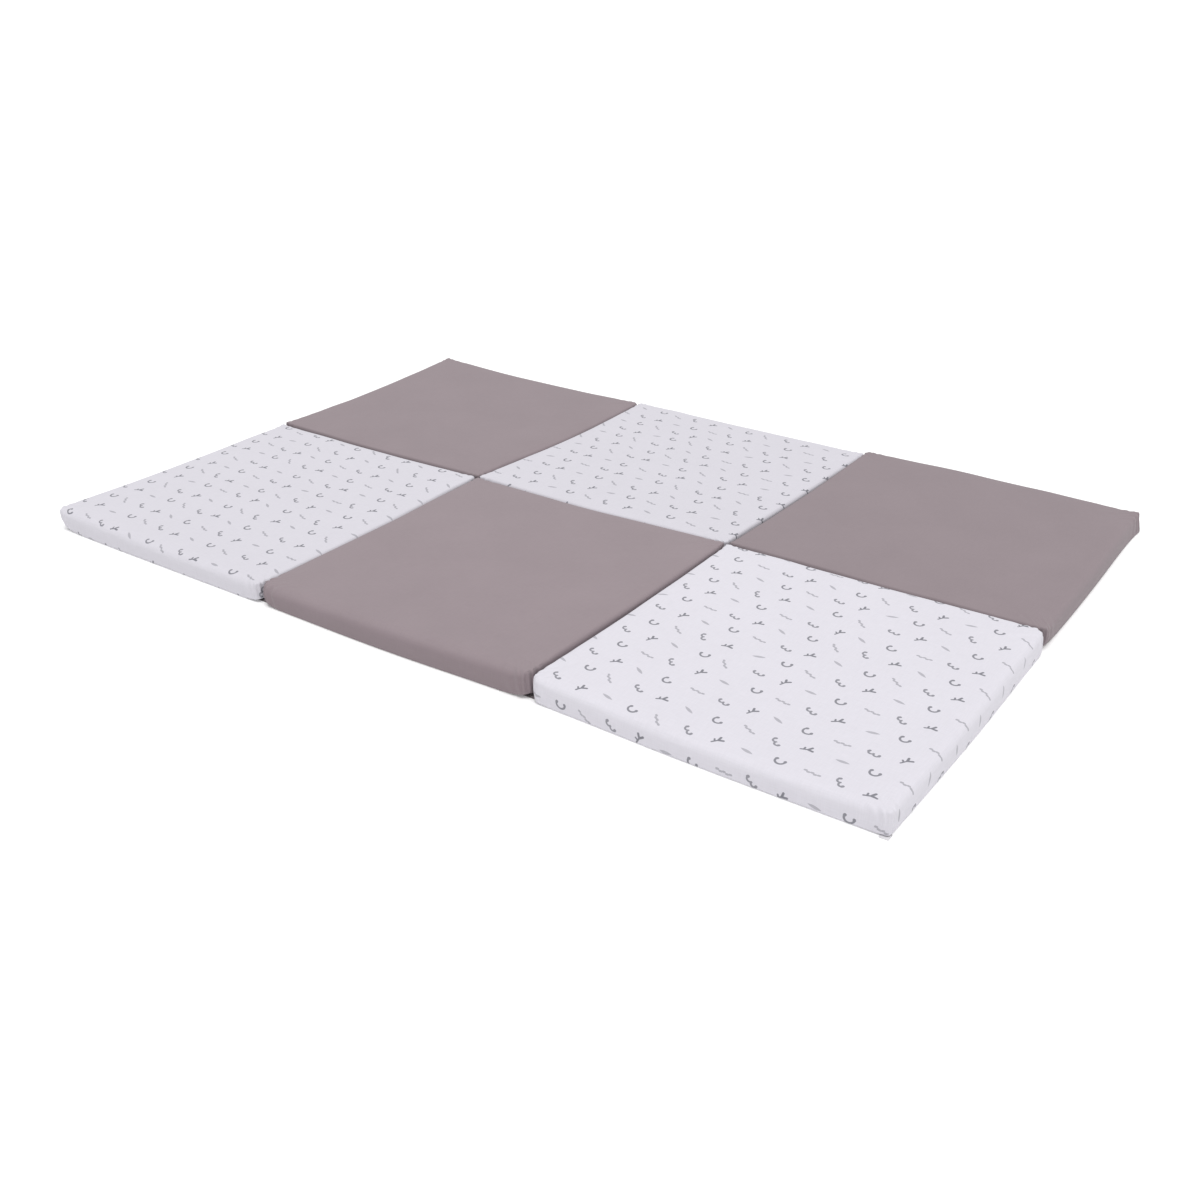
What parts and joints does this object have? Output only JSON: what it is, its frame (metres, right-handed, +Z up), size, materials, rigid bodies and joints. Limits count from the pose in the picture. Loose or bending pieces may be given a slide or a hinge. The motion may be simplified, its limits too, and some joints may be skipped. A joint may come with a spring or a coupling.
{
  "type": "baby play mat",
  "caption": "Unfolded padded play mat for babies: square foam pads in printed white and plain grey cotton covers, laid edge to edge and joined by a cloth underneath.",
  "frame": {"origin": "centre of the mat's footprint, on the floor under it", "axes": "+X along the mat's long side, +Y from its front edge to its back edge, +Z up from the floor"},
  "size_m": [1.8306, 1.2452, 0.0515],
  "materials": {
    "printed_cotton": "matt cotton, small grey print on white",
    "grey_cotton": "matt cotton, plain warm grey",
    "base_cotton": "matt cotton, plain dark grey",
    "tab_tape": "satin tape, blank"
  },
  "bodies": {
    "root": {"pad_front_left": "printed_cotton", "pad_front_middle": "grey_cotton", "pad_front_right": "printed_cotton", "pad_back_left": "grey_cotton", "pad_back_middle": "printed_cotton", "pad_back_right": "grey_cotton", "base_cloth": "base_cotton", "label_tab": "tab_tape"}
  },
  "joints": []
}
